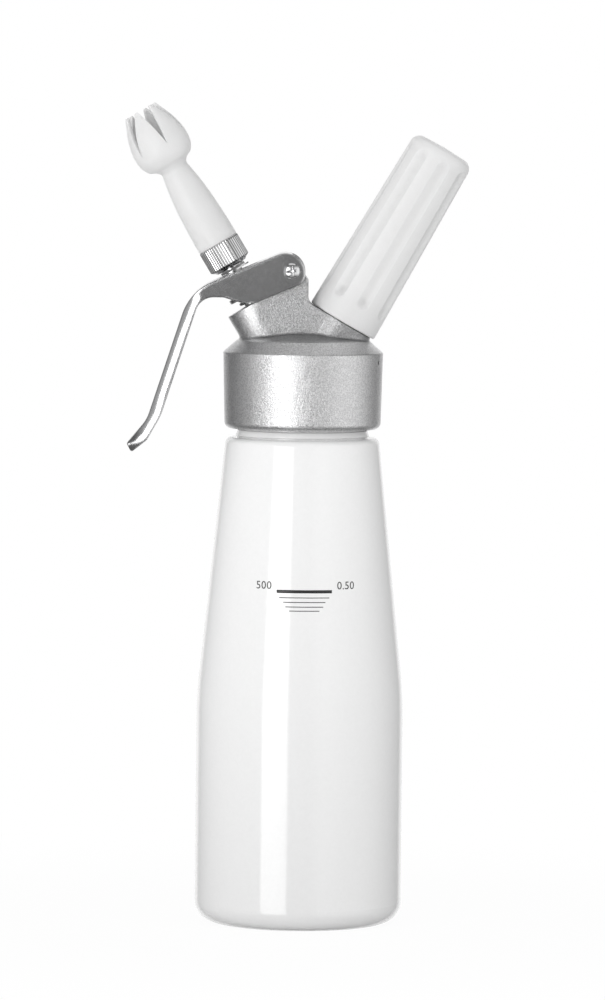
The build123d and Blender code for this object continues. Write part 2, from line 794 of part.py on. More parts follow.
def make_tulip():
    base = nozzle_base_diameter / 2
    neck = nozzle_neck_diameter / 2
    bulb = bulb_diameter / 2
    mouth = nozzle_tip_diameter / 2
    plug_low = stem_top_level + nozzle_seal_thickness
    neck_level = ring_top_level + nozzle_tube_length
    tip_level = neck_level + bulb_length
    wall = nozzle_wall
    plug = ring_bore_diameter / 2
    inlet = nozzle_inlet_radius

    def curve(points):
        return Spline(*[Vector(radius, 0, height) for radius, height in points])

    outer_tube = curve(
        [
            (base, ring_top_level),
            (base - 0.13, ring_top_level + 0.2 * nozzle_tube_length),
            (base - 0.83, ring_top_level + 0.6 * nozzle_tube_length),
            (neck, neck_level),
        ]
    )
    outer_bulb = curve(
        [
            (neck, neck_level),
            (bulb - 2.1, neck_level + 0.105 * bulb_length),
            (bulb, neck_level + 0.37 * bulb_length),
            (bulb - 1.5, neck_level + 0.69 * bulb_length),
            (mouth, tip_level),
        ]
    )
    inner_bulb = curve(
        [
            (neck - wall - 0.4, neck_level + 1.6),
            (bulb - 2.1 - wall, neck_level + 0.105 * bulb_length + 1.5),
            (bulb - wall, neck_level + 0.38 * bulb_length),
            (bulb - 1.5 - wall, neck_level + 0.68 * bulb_length),
            (mouth - wall, tip_level - 0.4),
        ]
    )
    inner_tube = curve(
        [
            (inlet, plug_low),
            (base - 3.2, ring_top_level + 0.2 * nozzle_tube_length),
            (base - 3.0, ring_top_level + 0.6 * nozzle_tube_length),
            (neck - wall - 0.4, neck_level + 1.6),
        ]
    )
    edges = [
        Line(Vector(inlet, 0, plug_low), Vector(plug, 0, plug_low)),
        Line(Vector(plug, 0, plug_low), Vector(plug, 0, ring_top_level)),
        Line(Vector(plug, 0, ring_top_level), Vector(base, 0, ring_top_level)),
        outer_tube,
        outer_bulb,
        Line(Vector(mouth, 0, tip_level), Vector(mouth - wall, 0, tip_level - 0.4)),
        inner_bulb,
        inner_tube,
    ]
    tulip = revolve(make_face(edges), axis=Axis.Z)
    low = tip_level - petal_notch_length
    past_tip = 0.1 * petal_notch_length
    half = 1.1 * petal_notch_width / 2
    wedge_face = make_face(
        Polyline((0, low), (half, tip_level + past_tip), (-half, tip_level + past_tip), close=True)
    )
    wedge = extrude(Plane.XZ * wedge_face, amount=bulb_diameter)
    for index in range(petal_count):
        tulip = tulip - Rot(0, 0, petal_first_angle + index * 360 / petal_count) * wedge
    return valve_frame * tulip


# ---------------------------------------------------------------- charger side
def make_piercing_pin():
    disc_high = pin_seat_level + pin_disc_thickness
    pin = turned(
        [
            (0.5, pin_seat_level, 0),
            (spigot_bore_radius, pin_seat_level, 0),
            (spigot_bore_radius, disc_high, 0),
            (1.2, disc_high, 0),
            (1.0, disc_high + 3.4, 0),
            (0.5, disc_high + 4.6, 0),
        ]
    )
    return charger_frame * pin


def make_charger_seal():
    low = pin_seat_level + pin_disc_thickness
    return charger_frame * tube(spigot_bore_radius - 0.05, 1.5, low, low + charger_seal_thickness)


def make_gas_valve_seat():
    low = ceiling_height
    high = low + gas_seat_thickness
    radius = gas_seat_diameter / 2
    seat = tube(radius, 1.0, low, high) - rod(radius - 0.9, high - gas_seat_recess, high + 1)
    for index in range(4):
        seat = seat - Rot(0, 0, 45 + 90 * index) * Pos(0.58 * radius, 0, 0) * rod(0.6, low - 1, high)
    return Pos(gas_valve_offset, 0, 0) * seat


def make_gas_check_valve():
    low = ceiling_height
    high = low + gas_seat_thickness - gas_seat_recess
    lip = gas_seat_diameter / 2 - 0.3
    valve = turned(
        [
            (0, low - 0.9, 0),
            (1.6, low - 0.9, 0),
            (lip, low - 0.35, 0),
            (lip, low, 0),
            (0.9, low, 0),
            (0.9, high, 0),
            (1.5, high + 0.1, 0.3),
            (0.7, high + 1.9, 0.3),
            (0, high + 1.9, 0),
        ]
    )
    return Pos(gas_valve_offset, 0, 0) * valve


def charger_profile(inset):
    """Corners of the charger's outside, or of its hollow when inset is the wall thickness."""
    radius = charger_diameter / 2 - inset
    neck = charger_neck_diameter / 2 - inset
    shoulder = charger_level + charger_neck_length
    top = charger_level + charger_length - inset
    return [
        (0, charger_level + 2 * inset, 0),
        (neck, charger_level + 2 * inset, 0),
        (neck, shoulder - 1.5 + inset * 0.6, 2.0),
        (radius, shoulder + 5.0 + inset * 0.6, 5.0),
        (radius, top, radius - 1.0),
        (0, top, 0),
    ]


def make_charger():
    shell = turned(charger_profile(0)) - turned(charger_profile(charger_wall))
    mouth = rod(charger_neck_diameter / 2 - charger_wall, charger_level - 1, charger_level + 3 * charger_wall)
    return charger_frame * (shell - mouth)


def make_charger_cap():
    radius = charger_neck_diameter / 2 - charger_wall
    return charger_frame * tube(radius, 1.5, charger_level, charger_level + 0.8)


insert_low = 0.5
insert_high = spigot_length + 0.4
holder_length = charger_level + charger_length + holder_top_thickness


def make_vent():
    """Cutter for the small pressure relief hole near the holder's lower edge."""
    hole = rod(0.8, insert_bore_diameter / 3, holder_base_diameter / 2 + 1.0)
    return Pos(0, 0, vent_height) * Rot(0, 0, 195) * Rot(0, 90, 0) * hole


def make_holder():
    low = holder_base_diameter / 2
    high = holder_top_diameter / 2
    cavity = holder_bore_diameter / 2
    ceiling = charger_level + charger_length
    insert = insert_diameter / 2
    outer = turned(
        [
            (0, 0, 0),
            (low, 0, 0.5),
            (high, holder_length - 0.6, holder_corner_radius),
            (0, holder_length, 0),
        ]
    )
    lean = math.degrees(math.atan2(low - high, holder_length))
    half = flute_width / 2
    cutter_radius = (half**2 + flute_depth**2) / (2 * flute_depth)
    run = holder_length - flute_start - flute_end - flute_width
    groove = rod(cutter_radius, 0, run)
    groove = groove + Sphere(cutter_radius) + Pos(0, 0, run) * Sphere(cutter_radius)
    for index in range(flute_count):
        angle = flute_first_angle + index * 360 / flute_count - 90
        start = Pos(low - flute_depth + cutter_radius, 0, flute_start + half)
        outer = outer - Rot(0, 0, angle) * start * Rot(0, -lean, 0) * groove
    inner = turned(
        [
            (0, -1.0, 0),
            (insert, -1.0, 0),
            (insert, insert_high, 0),
            (cavity, insert_high, 0),
            (cavity, ceiling, 3.5),
            (0, ceiling, 0),
        ]
    )
    return charger_frame * (outer - inner - make_vent())


def make_thread_insert():
    bore = insert_bore_diameter / 2
    sleeve = tube(insert_diameter / 2, bore, insert_low, insert_high)
    sleeve = sleeve + thread(
        bore,
        bore - spigot_thread_depth,
        spigot_pitch,
        spigot_thread_turns,
        spigot_ridge_root_width,
        spigot_ridge_crest_width,
        spigot_thread_low + spigot_pitch / 2,
    )
    return charger_frame * (sleeve - make_vent())


# ---------------------------------------------------------------- nodes
nodes = {
    "bottle": make_bottle(),
    "head_gasket": make_gasket(),
    "head_casting": make_head(),
    "pivot_pin": make_pivot_pin(),
    "pivot_screws": make_pivot_screws(),
    "stem_guide_bush": make_stem_bush(),
    "piercing_pin": make_piercing_pin(),
    "charger_seal": make_charger_seal(),
    "gas_valve_seat": make_gas_valve_seat(),
    "gas_check_valve": make_gas_check_valve(),
    "return_spring": make_return_spring(),
    "lever": make_lever(),
    "valve_stem": make_stem(),
    "valve_seal": make_valve_seal(),
    "stem_o_rings": make_o_rings(),
    "spring_cap": make_spring_cap(),
    "stem_washer": make_washer(),
    "nozzle_adapter": make_adapter(),
    "nozzle_seal": make_nozzle_seal(),
    "nozzle_ring": make_nozzle_ring(),
    "tulip_nozzle": make_tulip(),
    "gas_charger": make_charger(),
    "charger_cap": make_charger_cap(),
    "charger_holder": make_holder(),
    "holder_thread_insert": make_thread_insert(),
}

for name, shape in nodes.items():
    export_step(shape, f"parts/{name}.step")
    print(name, "solids", len(shape.solids()), "volume", round(shape.volume, 1), "valid", shape.is_valid)

hollow = turned([(0, neck_rim_height, 0)] + hollow_corners())
cream = hollow & rod(body_diameter, 0, fill_height)
print("capacity under the fill mark, ml", round(cream.volume / 1000))
print("capacity up to the rim, ml", round(hollow.volume / 1000))
print("pivot", [round(v, 3) for v in pivot_point])
print("valve origin", [round(v, 3) for v in valve_origin])
print("charger origin", [round(v, 3) for v in charger_origin])
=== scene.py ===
import bpy
import bmesh
import json
import numpy as np
from mathutils import Matrix, Vector

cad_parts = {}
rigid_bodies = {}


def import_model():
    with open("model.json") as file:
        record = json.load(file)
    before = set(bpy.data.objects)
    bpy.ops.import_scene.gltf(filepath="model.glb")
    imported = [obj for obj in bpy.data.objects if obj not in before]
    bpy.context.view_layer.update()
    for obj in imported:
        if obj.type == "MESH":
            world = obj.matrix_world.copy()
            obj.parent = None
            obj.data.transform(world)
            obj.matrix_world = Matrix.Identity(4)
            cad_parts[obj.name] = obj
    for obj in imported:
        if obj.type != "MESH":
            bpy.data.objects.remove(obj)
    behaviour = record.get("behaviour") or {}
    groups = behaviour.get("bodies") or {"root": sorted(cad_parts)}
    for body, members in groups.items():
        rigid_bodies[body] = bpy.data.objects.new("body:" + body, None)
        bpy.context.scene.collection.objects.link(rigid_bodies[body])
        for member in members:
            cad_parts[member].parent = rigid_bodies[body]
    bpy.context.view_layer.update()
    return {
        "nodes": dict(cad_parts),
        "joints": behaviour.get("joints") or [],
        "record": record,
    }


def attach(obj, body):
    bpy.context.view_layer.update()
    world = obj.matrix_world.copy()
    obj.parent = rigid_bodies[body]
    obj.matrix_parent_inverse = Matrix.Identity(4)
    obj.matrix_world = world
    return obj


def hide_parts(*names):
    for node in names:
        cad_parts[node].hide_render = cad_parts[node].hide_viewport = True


# angles below are in degrees, but the camera's roll and the wipe marks' turn are in radians
mm = 0.001  # lengths below are in metres, written as millimetres times mm
mergeDistance = 0.002 * mm  # points closer than this become one
cutDistance = 0.0005 * mm   # points this close to a cutting plane lie on it

for old in list(bpy.data.objects):
    bpy.data.objects.remove(old)
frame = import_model()
nodes = frame["nodes"]
print("frame loaded:", len(nodes), "nodes")


# places on the object, read from the frame

def jointPlace(name):
    # origin and axis of a joint, with the directions across it and to the back
    joint = next(item for item in frame["joints"] if item["name"] == name)
    along = np.array(joint["axis"], float)
    along = along / np.linalg.norm(along)
    back = np.array([0.0, 1.0, 0.0])
    return {
        "origin": np.array(joint["pos_m"], float),
        "across": np.cross(back, along), "back": back, "along": along,
    }


valvePlace = jointPlace("nozzle_turn")
chargerPlace = jointPlace("holder_turn")


def putAt(place, points):
    # local (across, back, along) coordinates to the object's own
    return (
        place["origin"]
        + points[..., 0:1] * place["across"]
        + points[..., 1:2] * place["back"]
        + points[..., 2:3] * place["along"]
    )


# lines and surfaces

def curveThrough(knots, perSpan=8):
    # smooth line through the knots: a cubic on each span, its end slopes taken from the knots beside it
    knots = np.asarray(knots, float)
    chord = np.concatenate([[0.0], np.cumsum(np.linalg.norm(np.diff(knots, axis=0), axis=1))])
    slopes = np.gradient(knots, chord, axis=0)
    spans = [np.linspace(chord[i], chord[i + 1], perSpan, endpoint=False) for i in range(len(knots) - 1)]
    run = np.concatenate(spans + [chord[-1:]])
    i = np.clip(np.searchsorted(chord, run, side="right") - 1, 0, len(knots) - 2)
    h = (chord[i + 1] - chord[i])[:, None]
    t = (run - chord[i])[:, None] / h
    return (
        (2 * t**3 - 3 * t**2 + 1) * knots[i]
        + (t**3 - 2 * t**2 + t) * h * slopes[i]
        + (3 * t**2 - 2 * t**3) * knots[i + 1]
        + (t**3 - t**2) * h * slopes[i + 1]
    )


def roundedLine(corners, arcSteps=5):
    # straight runs between (x, y, radius) corners, each corner an arc between its two tangent points
    tips = np.array([corner[:2] for corner in corners], float)
    line = [tips[:1]]
    for i in range(1, len(tips) - 1):
        radius = corners[i][2]
        if radius == 0:
            line.append(tips[i:i + 1])
            continue
        before = (tips[i - 1] - tips[i]) / np.linalg.norm(tips[i - 1] - tips[i])
        after = (tips[i + 1] - tips[i]) / np.linalg.norm(tips[i + 1] - tips[i])
        half = np.arccos(np.clip(before @ after, -1, 1)) / 2
        centre = tips[i] + (before + after) / np.linalg.norm(before + after) * radius / np.sin(half)
        start = tips[i] + before * radius / np.tan(half) - centre
        end = tips[i] + after * radius / np.tan(half) - centre
        turn = np.arctan2(start[0] * end[1] - start[1] * end[0], start @ end)
        angle = np.linspace(0, turn, arcSteps + 1)
        swing = np.stack([np.cos(angle), -np.sin(angle), np.sin(angle), np.cos(angle)], axis=-1)
        line.append(centre + swing.reshape(-1, 2, 2) @ start)
    line.append(tips[-1:])
    return np.concatenate(line)


def resample(line, step):
    # the same line with points no further apart than step; its corners stay
    parts = [line[:1]]
    for a, b in zip(line[:-1], line[1:]):
        count = max(1, int(np.ceil(np.linalg.norm(b - a) / step)))
        parts.append(a + (b - a) * (np.arange(1, count + 1) / count)[:, None])
    return np.concatenate(parts)


def gridFaces(rows, columns, closeRows=False, closeColumns=False, start=0):
    # four-cornered faces of a grid of points stored row by row
    r, c = np.meshgrid(
        np.arange(rows if closeRows else rows - 1),
        np.arange(columns if closeColumns else columns - 1),
        indexing="ij",
    )
    up, side = (r + 1) % rows, (c + 1) % columns
    quads = np.stack([r * columns + c, r * columns + side, up * columns + side, up * columns + c], axis=-1)
    return quads.reshape(-1, 4) + start


def turned(line, radius, angle):
    # points of a body of revolution whose radius may change with the angle
    height = np.broadcast_to(line[:, 1:2], radius.shape)
    return np.stack([radius * np.cos(angle), radius * np.sin(angle), height], axis=-1)


def readPoints(mesh):
    # the mesh's points, a row of x, y and z for each
    points = np.empty(len(mesh.vertices) * 3)
    mesh.vertices.foreach_get("co", points)
    return points.reshape(-1, 3)


def makeMesh(name, points, faces, faceOutward=False):
    # a mesh from points and faces; points that coincide are merged, so poles and seams are closed
    mesh = bpy.data.meshes.new(name)
    mesh.from_pydata(np.asarray(points).reshape(-1, 3).tolist(), [], faces)
    work = bmesh.new()
    work.from_mesh(mesh)
    bmesh.ops.remove_doubles(work, verts=work.verts, dist=mergeDistance)
    if faceOutward:
        bmesh.ops.recalc_face_normals(work, faces=work.faces)
    work.to_mesh(mesh)
    work.free()
    return mesh


def smoothMesh(mesh, sharpAngle=None):
    # smooth shading, with edges sharper than sharpAngle degrees kept sharp
    mesh.polygons.foreach_set("use_smooth", np.ones(len(mesh.polygons), bool))
    if sharpAngle:
        mesh.set_sharp_from_angle(angle=np.radians(sharpAngle))


def addObject(name, mesh, material):
    # the mesh in one material, put into the scene
    mesh.materials.clear()
    mesh.materials.append(material)
    thing = bpy.data.objects.new(name, mesh)
    bpy.context.scene.collection.objects.link(thing)
    return thing


def makePiece(name, points, faces, material, body, replaced=(), sharpAngle=None):
    # a smooth piece that rides on a body and stands for the replaced nodes
    mesh = makeMesh(name, points, np.asarray(faces).tolist())
    smoothMesh(mesh, sharpAngle)
    piece = addObject(name, mesh, material)
    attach(piece, body)
    if replaced:
        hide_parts(*replaced)
    return piece


# node tools

def addNode(tree, kind, values=None, **settings):
    # a node with its settings; a number or colour is set on its socket, another node's output is wired to it
    node = tree.nodes.new(kind)
    for key, value in settings.items():
        setattr(node, key, value)
    for key, value in (values or {}).items():
        if isinstance(value, bpy.types.NodeSocket):
            tree.links.new(value, node.inputs[key])
        else:
            node.inputs[key].default_value = value
    return node


def addMath(tree, operation, *values, clamp=False):
    node = addNode(tree, "ShaderNodeMath", dict(enumerate(values)), operation=operation, use_clamp=clamp)
    return node.outputs[0]


def addRamp(tree, value, start, end, low=0.0, high=1.0, kind="SMOOTHSTEP"):
    # low up to start, high from end on, and a soft step or a straight line between them
    ramp = addNode(tree, "ShaderNodeMapRange", {
        "Value": value, "From Min": start, "From Max": end, "To Min": low, "To Max": high,
    }, interpolation_type=kind)
    return ramp.outputs["Result"]


def addMix(tree, share, first, second):
    # the first colour where share is 0, the second where it is 1
    mix = addNode(tree, "ShaderNodeMix", data_type="RGBA")
    for key, value in (("Factor", share), ("A", first), ("B", second)):
        if isinstance(value, tuple):
            mix.inputs[key].default_value = (*value, 1)
        else:
            tree.links.new(value, mix.inputs[key])
    return mix.outputs["Result"]


def newGroup(name, inputs, outputs):
    # an empty node group with named number sockets
    group = bpy.data.node_groups.new(name, "ShaderNodeTree")
    for socket, value in inputs.items():
        item = group.interface.new_socket(name=socket, in_out="INPUT", socket_type="NodeSocketFloat")
        item.default_value = value
    for socket in outputs:
        group.interface.new_socket(name=socket, in_out="OUTPUT", socket_type="NodeSocketFloat")
    return group, group.nodes.new("NodeGroupInput"), group.nodes.new("NodeGroupOutput")


textureLook = {
    "finerGrain": 2.3, "coarseNoise": {"Detail": 1.0, "Roughness": 0.5}, "fineNoise": {"Detail": 0.0},
    "patchNoise": {"Detail": 3.0, "Roughness": 0.55}, "wipeNoise": {"Scale": 1.0, "Detail": 2.0},
    "wipeMapping": {"Rotation": (0.3, 0.2, 0.5), "Scale": (30.0, 900.0, 260.0)},
    "edgeSamples": 6,
}


def makeGrainGroup(look):
    # fine grain: 0.5 + Contrast * (a + b - 1), where a and b are noise of two sizes
    group, source, result = newGroup("fineGrain", {"Grains Per Metre": 2500.0, "Contrast": 1.0}, ["Grain"])
    place = addNode(group, "ShaderNodeTexCoord").outputs["Object"]
    grains = source.outputs["Grains Per Metre"]
    finerGrains = addMath(group, "MULTIPLY", grains, look["finerGrain"])
    coarse = addNode(group, "ShaderNodeTexNoise", {"Vector": place, "Scale": grains, **look["coarseNoise"]})
    fine = addNode(group, "ShaderNodeTexNoise", {"Vector": place, "Scale": finerGrains, **look["fineNoise"]})
    both = addMath(group, "ADD", coarse.outputs["Fac"], fine.outputs["Fac"])
    pushed = addMath(group, "MULTIPLY", addMath(group, "SUBTRACT", both, 1.0), source.outputs["Contrast"])
    group.links.new(addMath(group, "ADD", pushed, 0.5, clamp=True), result.inputs["Grain"])
    return group


def makeHandlingGroup(look):
    # traces of hands and cloths: Level + Patches * (broad noise - 0.5) + Wipes * (long thin noise - 0.5)
    group, source, result = newGroup(
        "handlingMarks", {"Level": 0.3, "Patches": 0.1, "Wipes": 0.05, "Patches Per Metre": 60.0}, ["Value"]
    )
    place = addNode(group, "ShaderNodeTexCoord").outputs["Object"]
    squeezed = addNode(group, "ShaderNodeMapping", {"Vector": place, **look["wipeMapping"]}).outputs[0]
    patch = addNode(group, "ShaderNodeTexNoise", {
        "Vector": place, "Scale": source.outputs["Patches Per Metre"], **look["patchNoise"],
    })
    wipe = addNode(group, "ShaderNodeTexNoise", {"Vector": squeezed, **look["wipeNoise"]})
    total = source.outputs["Level"]
    for noise, amount in ((patch, "Patches"), (wipe, "Wipes")):
        centred = addMath(group, "SUBTRACT", noise.outputs["Fac"], 0.5)
        total = addMath(group, "ADD", addMath(group, "MULTIPLY", centred, source.outputs[amount]), total)
    group.links.new(total, result.inputs["Value"])
    return group


def makeCornerGroup():
    # 1 above Level and to the right of Line, 0 elsewhere, with soft steps as wide as the two fades
    group, source, result = newGroup(
        "aboveAndRight", {"Level": 0.2, "Level Fade": 0.002, "Line": 0.0, "Line Fade": 0.002}, ["Share"]
    )
    place = addNode(group, "ShaderNodeTexCoord").outputs["Object"]
    split = addNode(group, "ShaderNodeSeparateXYZ", {0: place})
    steps = []
    for axis, start in (("Z", "Level"), ("X", "Line")):
        end = addMath(group, "ADD", source.outputs[start], source.outputs[start + " Fade"])
        steps.append(addRamp(group, split.outputs[axis], source.outputs[start], end))
    group.links.new(addMath(group, "MULTIPLY", *steps), result.inputs["Share"])
    return group


grainGroup = makeGrainGroup(textureLook)
handlingGroup = makeHandlingGroup(textureLook)
cornerGroup = makeCornerGroup()


def addShades(tree, look):
    # the look's grain, and its two shades mixed by that grain
    grain = addNode(
        tree, "ShaderNodeGroup", {"Grains Per Metre": look["grains"], "Contrast": look["contrast"]},
        node_tree=grainGroup,
    ).outputs["Grain"]
    return grain, addMix(tree, grain, look["darkShade"], look["lightShade"])


def makeFinish(name, look):
    # one finish: two shades mixed by the grain, roughness with handling marks, and a bump from the grain
    material = bpy.data.materials.new(name)
    material.use_nodes = True
    tree = material.node_tree
    shader = tree.nodes["Principled BSDF"]
    for socket, value in look["shader"].items():
        shader.inputs[socket].default_value = value
    grain, shade = addShades(tree, look)
    marks = addNode(tree, "ShaderNodeGroup", look["handling"], node_tree=handlingGroup)
    bump = addNode(tree, "ShaderNodeBump", {
        "Height": grain, "Strength": look["bump"], "Distance": look["bumpDepth"],
    })
    if look.get("castWithPaintedShade"):
        # above a level and to the right of a line the surface is left as cast, with coarser grains, and
        # darker: partly the cast skin, partly painted shade
        corner = addNode(tree, "ShaderNodeGroup", look["castWithPaintedShade"]["where"], node_tree=cornerGroup)
        shade = addMix(tree, corner.outputs["Share"], shade, addShades(tree, look["castWithPaintedShade"])[1])
    if look.get("paintedGrooveShade"):
        # painted shade: the mesh's groove value, 0 to 1, mixes the colour towards a painted shadow at the
        # bottom of each groove
        grooveShadeShare = addNode(tree, "ShaderNodeAttribute", attribute_name="grooveShadeShare")
        shade = addMix(tree, grooveShadeShare.outputs["Fac"], shade, look["paintedGrooveShade"])
    if look.get("edge"):
        edge = addNode(tree, "ShaderNodeBevel", {"Radius": look["edge"]}, samples=textureLook["edgeSamples"])
        tree.links.new(edge.outputs["Normal"], bump.inputs["Normal"])
    tree.links.new(shade, shader.inputs["Base Color"])
    tree.links.new(marks.outputs["Value"], shader.inputs["Roughness"])
    tree.links.new(bump.outputs["Normal"], shader.inputs["Normal"])
    return material


finishes = {
    "enamel": {
        "shader": {"IOR": 1.6},
        "darkShade": (0.845, 0.845, 0.845), "lightShade": (0.865, 0.865, 0.865),
        "grains": 420.0, "contrast": 1.0, "bump": 0.05, "bumpDepth": 0.05 * mm,
        "handling": {"Level": 0.10, "Patches": 0.06, "Wipes": 0.02, "Patches Per Metre": 45.0},
    },
    "blastedAluminium": {
        "shader": {"Metallic": 1.0},
        "darkShade": (0.60, 0.60, 0.605), "lightShade": (0.90, 0.90, 0.905),
        "grains": 1900.0, "contrast": 2.4, "bump": 0.55, "bumpDepth": 0.10 * mm, "edge": 0.45 * mm,
        "handling": {"Level": 0.30, "Patches": 0.06, "Wipes": 0.02, "Patches Per Metre": 70.0},
        # the cast top of the head: coarser grains, and darker shades that are partly painted shade
        "castWithPaintedShade": {
            "where": {"Level": 219.5 * mm, "Level Fade": 1.5 * mm, "Line": -20.0 * mm, "Line Fade": 4.5 * mm},
            "grains": 1500.0, "contrast": 2.0,
            "darkShade": (0.33, 0.33, 0.333), "lightShade": (0.56, 0.56, 0.565),
        },
    },
    "polishedLever": {
        "shader": {"Metallic": 1.0},
        "darkShade": (0.60, 0.60, 0.605), "lightShade": (0.70, 0.70, 0.705),
        "grains": 900.0, "contrast": 1.2, "bump": 0.10, "bumpDepth": 0.04 * mm, "edge": 1.2 * mm,
        "handling": {"Level": 0.18, "Patches": 0.06, "Wipes": 0.04, "Patches Per Metre": 60.0},
    },
    "chrome": {
        "shader": {"Metallic": 1.0},
        "darkShade": (0.74, 0.74, 0.745), "lightShade": (0.82, 0.82, 0.825),
        "grains": 700.0, "contrast": 1.0, "bump": 0.02, "bumpDepth": 0.03 * mm,
        "handling": {"Level": 0.10, "Patches": 0.08, "Wipes": 0.04, "Patches Per Metre": 90.0},
    },
    "knurledChrome": {
        "shader": {"Metallic": 1.0},
        "darkShade": (0.85, 0.85, 0.855), "lightShade": (0.93, 0.93, 0.935),
        # the colour of the painted shadow at the bottoms of the ring's grooves
        "paintedGrooveShade": (0.29, 0.29, 0.29),
        "grains": 700.0, "contrast": 1.0, "bump": 0.02, "bumpDepth": 0.03 * mm,
        "handling": {"Level": 0.10, "Patches": 0.08, "Wipes": 0.04, "Patches Per Metre": 90.0},
    },
    "steel": {
        "shader": {"Metallic": 1.0},
        "darkShade": (0.50, 0.50, 0.50), "lightShade": (0.62, 0.62, 0.62),
        "grains": 1500.0, "contrast": 1.0, "bump": 0.05, "bumpDepth": 0.03 * mm, "edge": 0.10 * mm,
        "handling": {"Level": 0.28, "Patches": 0.10, "Wipes": 0.10, "Patches Per Metre": 120.0},
    },
    "brass": {
        "shader": {"Metallic": 1.0},
        "darkShade": (0.60, 0.45, 0.22), "lightShade": (0.74, 0.58, 0.30),
        "grains": 1200.0, "contrast": 1.0, "bump": 0.05, "bumpDepth": 0.03 * mm, "edge": 0.10 * mm,
        "handling": {"Level": 0.30, "Patches": 0.12, "Wipes": 0.08, "Patches Per Metre": 120.0},
    },
    "rubber": {
        "shader": {"IOR": 1.5},
        "darkShade": (0.030, 0.030, 0.031), "lightShade": (0.055, 0.055, 0.056),
        "grains": 2500.0, "contrast": 1.4, "bump": 0.20, "bumpDepth": 0.03 * mm,
        "handling": {"Level": 0.62, "Patches": 0.14, "Wipes": 0.05, "Patches Per Metre": 150.0},
    },
    "whitePlastic": {
        "shader": {
            "IOR": 1.45,
            "Subsurface Weight": 0.6, "Subsurface Radius": (1.0, 1.0, 1.0), "Subsurface Scale": 3.0 * mm,
        },
        "darkShade": (0.75, 0.75, 0.75), "lightShade": (0.78, 0.78, 0.78),
        "grains": 2200.0, "contrast": 1.0, "bump": 0.10, "bumpDepth": 0.03 * mm,
        "handling": {"Level": 0.42, "Patches": 0.10, "Wipes": 0.03, "Patches Per Metre": 80.0},
    },
    "printInk": {
        "shader": {"IOR": 1.5},
        "darkShade": (0.020, 0.020, 0.021), "lightShade": (0.045, 0.045, 0.046),
        "grains": 3000.0, "contrast": 1.2, "bump": 0.10, "bumpDepth": 0.01 * mm,
        "handling": {"Level": 0.24, "Patches": 0.10, "Wipes": 0.03, "Patches Per Metre": 200.0},
    },
}
materials = {name: makeFinish(name, look) for name, look in finishes.items()}
finishOfSlot = {
    "enamel": "enamel", "blasted_aluminium": "blastedAluminium", "polished_lever": "polishedLever",
    "chrome": "chrome", "steel": "steel", "brass": "brass", "rubber": "rubber",
    "white_plastic": "whitePlastic",
}
for part in frame["record"]["subparts"]:
    for slot in nodes[part["node"]].material_slots:
        slot.material = materials[finishOfSlot[part["material_slot"]]]
print("finishes made:", len(materials))


# nozzle: a tapering tube, a bulb and six petals with pointed notches between them

nozzleLook = {
    "base": 26.9 * mm, "plug": 25.4 * mm, "plugRadius": 5.6 * mm,
    "tubeRadius": 8.0 * mm, "neck": 59.9 * mm, "neckRadius": 5.4 * mm,
    "bulbRadius": 11.15 * mm, "tip": 84.6 * mm, "tipRadius": 6.5 * mm,
    "wall": 1.3 * mm, "bore": 2.4 * mm,
    "petals": 6, "notchLength": 15.3 * mm, "notchWidth": 4.8 * mm, "firstNotch": -75.5,
    "gapRadius": 4 * mm, "tipRounding": 0.8 * mm, "roundingPower": 4,
    "edgeRounding": 0.3 * mm, "edgeSteps": 2, "sharpAngle": 50,
    # knots of the outline: within tubeRadius at a share of the tube, outside neckRadius at a distance from
    # the neck, and within bulbRadius at a share of the bulb
    "tubeKnots": ((0, 0), (0.1 * mm, 0.2), (0.35 * mm, 0.385), (0.85 * mm, 0.6), (1.35 * mm, 0.73)),
    "neckKnots": ((0.3 * mm, -2.9 * mm), (0, -0.3 * mm), (1.0 * mm, 0.988 * mm)),
    "bulbKnots": (
        (2.15 * mm, 0.105), (0.75 * mm, 0.195), (0, 0.37),
        (0.7 * mm, 0.587), (1.8 * mm, 0.733), (3.05 * mm, 0.854),
    ),
    "baseChamfer": 0.3 * mm, "cavityRise": 2 * mm, "overlap": 4 * mm, "rowGap": 0.1 * mm, "perSpan": 6,
    "columns": 20, "crowding": 1.3,
}


